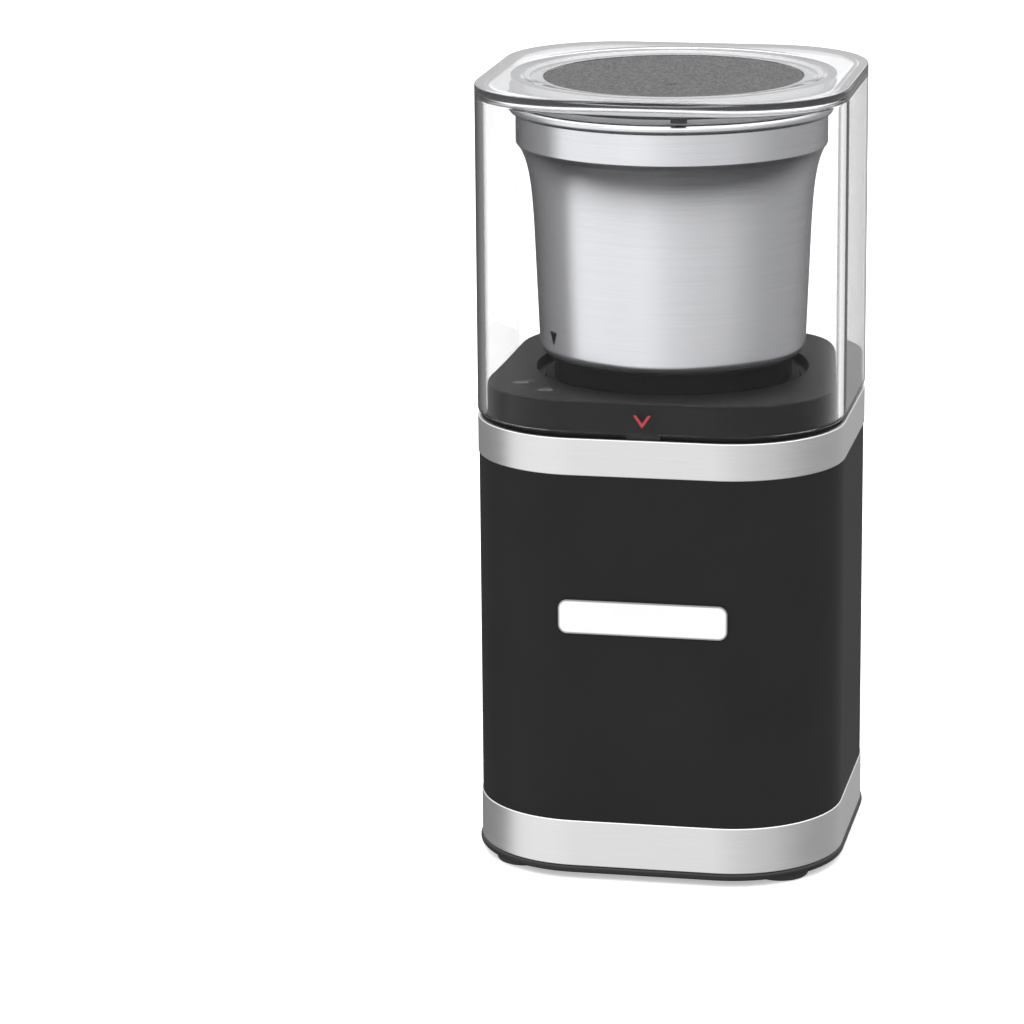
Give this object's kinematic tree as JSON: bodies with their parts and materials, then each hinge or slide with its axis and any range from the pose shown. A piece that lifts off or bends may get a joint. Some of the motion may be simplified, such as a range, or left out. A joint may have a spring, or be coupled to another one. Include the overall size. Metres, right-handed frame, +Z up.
{
  "type": "electric spice grinder",
  "caption": "Electric spice grinder: rounded-square motor base with steel bands, lift-out steel bowl with a blade, and a clear press-down cover.",
  "frame": {"origin": "middle of the footprint, on the plane the feet stand on", "axes": "+Z up along the motor shaft; -Y is the front with the nameplate; +X is the right-hand side seen from the front"},
  "size_m": [0.111, 0.111, 0.2346],
  "materials": {
    "black_plastic": "satin moulded black",
    "sleeve_black": "smooth satin black",
    "deck_plastic": "fine matte dark grey",
    "brushed_steel": "brushed along its length",
    "bowl_steel": "brushed round, polished lip",
    "clear_cover": "clear, polished",
    "frosted_disc": "fine textured grey",
    "rubber": "matte black",
    "plate_white": "satin white, blank",
    "mark_grey": "printed",
    "mark_red": "printed",
    "mark_black": "printed",
    "frame_plastic": "moulded",
    "zinc_screw": "zinc plated",
    "lamination": "stamped sheet stack",
    "copper_wire": "lacquered copper",
    "die_cast": "die cast",
    "bearing_steel": "ground",
    "brass": "plain",
    "carbon": "graphite",
    "switch_black": "moulded",
    "spring_steel": "bright",
    "terminal_white": "moulded",
    "filter_yellow": "potted",
    "wire_skin": "insulation",
    "coupling_plastic": "glass filled",
    "hub_plastic": "smooth dark",
    "blade_steel": "ground"
  },
  "bodies": {
    "base": {"base_tray": "black_plastic", "feet": "rubber", "lower_band": "brushed_steel", "body_sleeve": "sleeve_black", "upper_band": "brushed_steel", "top_deck": "deck_plastic", "nameplate": "plate_white", "lock_marks": "mark_grey", "inner_frame": "frame_plastic", "base_screws": "zinc_screw", "deck_screws": "zinc_screw", "stator_core": "lamination", "field_coils": "copper_wire", "upper_bracket": "die_cast", "lower_bracket": "die_cast", "upper_bearing": "bearing_steel", "lower_bearing": "bearing_steel", "motor_bolts": "zinc_screw", "motor_mounts": "rubber", "mount_screws": "zinc_screw", "brush_holders": "brass", "carbon_brushes": "carbon", "cover_switch": "switch_black", "interlock_switch": "switch_black", "terminal_block": "terminal_white", "noise_filter": "filter_yellow", "inner_leads": "wire_skin", "cord_gland": "rubber", "plunger_springs": "spring_steel"},
    "plungers": {"plungers": "black_plastic"},
    "switch_lever": {"switch_lever": "spring_steel"},
    "interlock_ring": {"interlock_ring": "black_plastic"},
    "interlock_lever": {"interlock_lever": "spring_steel"},
    "rotor": {"rotor_shaft": "bearing_steel", "armature_core": "lamination", "armature_windings": "copper_wire", "commutator": "copper_wire", "cooling_fan": "black_plastic", "drive_coupling": "coupling_plastic"},
    "bowl": {"bowl_cup": "bowl_steel", "bowl_base": "black_plastic", "bowl_hub": "hub_plastic", "shaft_bushing": "brass", "bowl_screws": "zinc_screw", "bowl_index_mark": "mark_black"},
    "blade": {"blade": "blade_steel", "blade_shaft": "bearing_steel", "blade_spacer": "bearing_steel", "blade_nut": "blade_steel", "driven_coupling": "coupling_plastic"},
    "lid_seal": {"lid_seal": "rubber"},
    "cover": {"cover_walls": "clear_cover", "cover_top": "clear_cover", "lid_insert": "frosted_disc", "cover_mark": "mark_red"}
  },
  "joints": [
    {"name": "cover_press", "type": "slide", "parent": "base", "child": "plungers", "axis": [0, 0, 1], "range_m": [-0.0015, 0], "stiffness_N_per_m": 1500, "springref_m": 0.002, "deforming": ["plunger_springs"]},
    {"name": "seal_ride", "type": "slide", "parent": "plungers", "child": "lid_seal", "axis": [0, 0, 1], "range_m": [0, 0.1]},
    {"name": "cover_lift", "type": "slide", "parent": "lid_seal", "child": "cover", "axis": [0, 0, 1], "range_m": [0, 0.12]},
    {"name": "bowl_turn", "type": "hinge", "parent": "base", "child": "interlock_ring", "pos_m": [0, 0, 0.135], "axis": [0, 0, 1], "range_deg": [0, 14]},
    {"name": "bowl_lift", "type": "slide", "parent": "interlock_ring", "child": "bowl", "axis": [0, 0, 1], "range_m": [0, 0.1]},
    {"name": "rotor_spin", "type": "hinge", "parent": "base", "child": "rotor", "pos_m": [0, 0, 0.08], "axis": [0, 0, 1], "continuous": true},
    {"name": "blade_spin", "type": "hinge", "parent": "bowl", "child": "blade", "pos_m": [0, 0, 0.15], "axis": [0, 0, 1], "continuous": true},
    {"name": "switch_lever_tilt", "type": "hinge", "parent": "base", "child": "switch_lever", "pos_m": [0, -0.031, 0.1113], "axis": [1, 0, 0], "range_deg": [0, 8], "stiffness_Nm_per_rad": 0.0001, "springref_deg": -24.06},
    {"name": "interlock_lever_swing", "type": "hinge", "parent": "base", "child": "interlock_lever", "pos_m": [0.03433, 0.01082, 0.127], "axis": [0, 0, 1], "range_deg": [0, 15]}
  ],
  "couplings": [
    {"joint": "seal_ride", "follows": "bowl_lift", "ratio": 1},
    {"joint": "blade_spin", "follows": "rotor_spin", "ratio": 1},
    {"joint": "switch_lever_tilt", "follows": "cover_press", "rad_per_m": -63.3},
    {"joint": "interlock_lever_swing", "follows": "bowl_turn", "ratio": 1}
  ]
}
